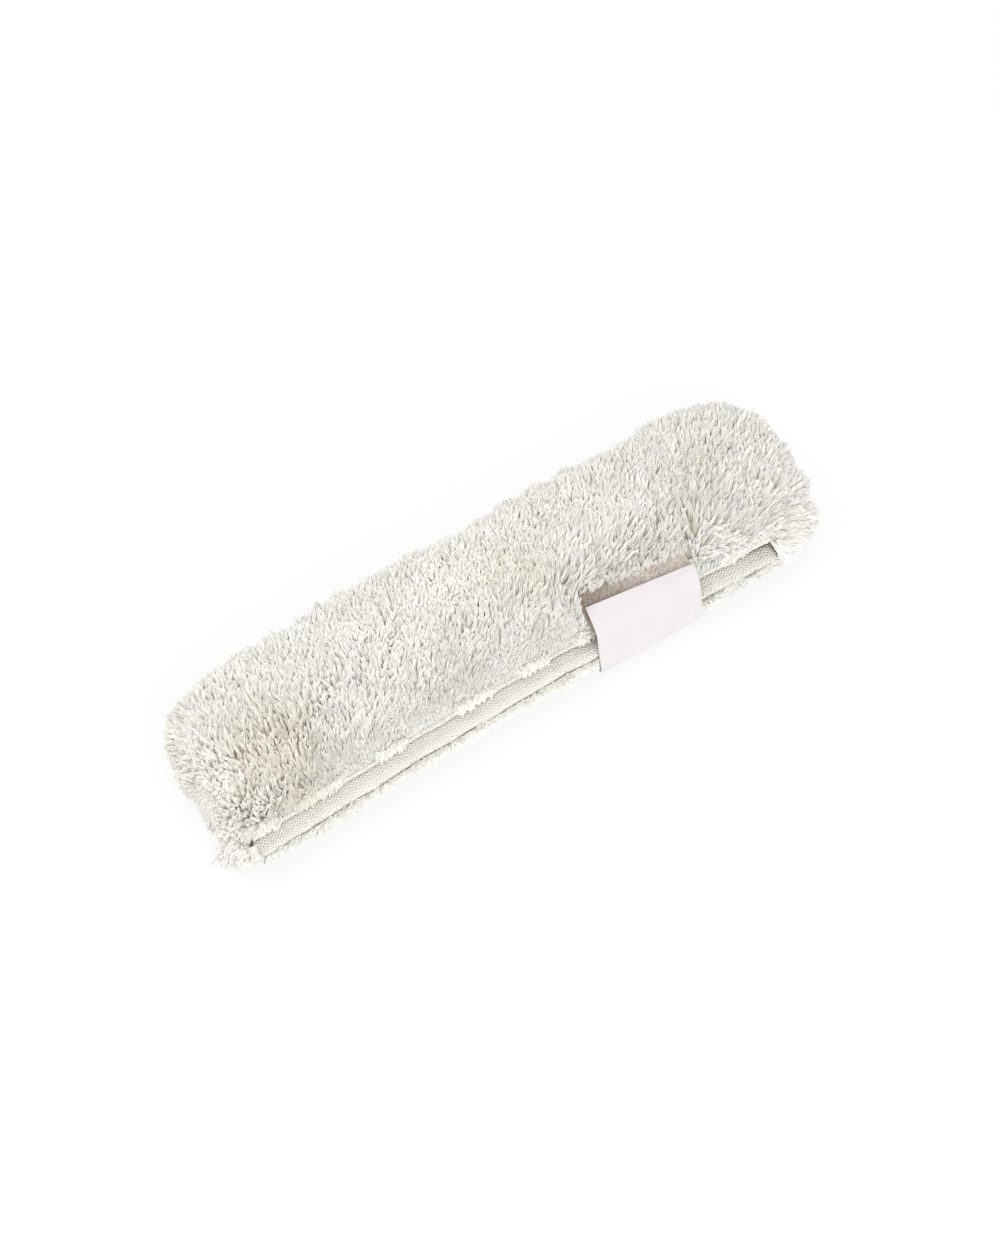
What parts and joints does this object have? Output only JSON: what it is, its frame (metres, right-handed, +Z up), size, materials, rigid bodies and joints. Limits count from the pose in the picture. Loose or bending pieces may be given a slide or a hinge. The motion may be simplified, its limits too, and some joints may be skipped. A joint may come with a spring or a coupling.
{
  "type": "window washer sleeve",
  "caption": "Plush white washer sleeve with a long mouth into its pocket, bound lips and a hook-and-loop closing strap.",
  "frame": {"origin": "on the flat underside, in the middle of the sleeve", "axes": "+X along the sleeve, -Y out of the mouth, +Z up from the face it rests on"},
  "size_m": [0.3638, 0.1024, 0.0509],
  "materials": {
    "pile": "white cut microfibre pile, matte",
    "backing": "knitted base cloth, matte",
    "binding": "herringbone woven tape, matte",
    "thread": "white polyester thread, slight sheen",
    "strap": "fine woven tape with a faint warm tint, matte",
    "loop": "brushed loop pile, warm grey, matte",
    "hook": "moulded nylon hooks, slight sheen"
  },
  "bodies": {
    "sleeve": {"pile_cover": "pile", "backing_cloth": "backing", "lower_binding_tape": "binding", "upper_binding_tape": "binding", "lower_tape_stitching": "thread", "upper_tape_stitching": "thread", "left_end_seam": "thread", "right_end_seam": "thread", "left_bar_tack": "thread", "right_bar_tack": "thread", "loop_patch": "loop", "loop_patch_stitching": "thread", "strap_root": "strap", "strap_root_stitching": "thread"},
    "strap_front": {"strap_front": "strap"},
    "strap_end": {"strap_tip": "strap", "hook_field": "hook"}
  },
  "joints": [
    {"name": "strap_swing", "type": "hinge", "parent": "sleeve", "child": "strap_front", "pos_m": [0.066, -0.04889, 0.0045], "axis": [1, 0, 0], "range_deg": [0, 106]},
    {"name": "strap_peel", "type": "hinge", "parent": "strap_front", "child": "strap_end", "pos_m": [0.066, -0.03759, 0.029], "axis": [1, 0, 0], "range_deg": [0, 58]}
  ]
}
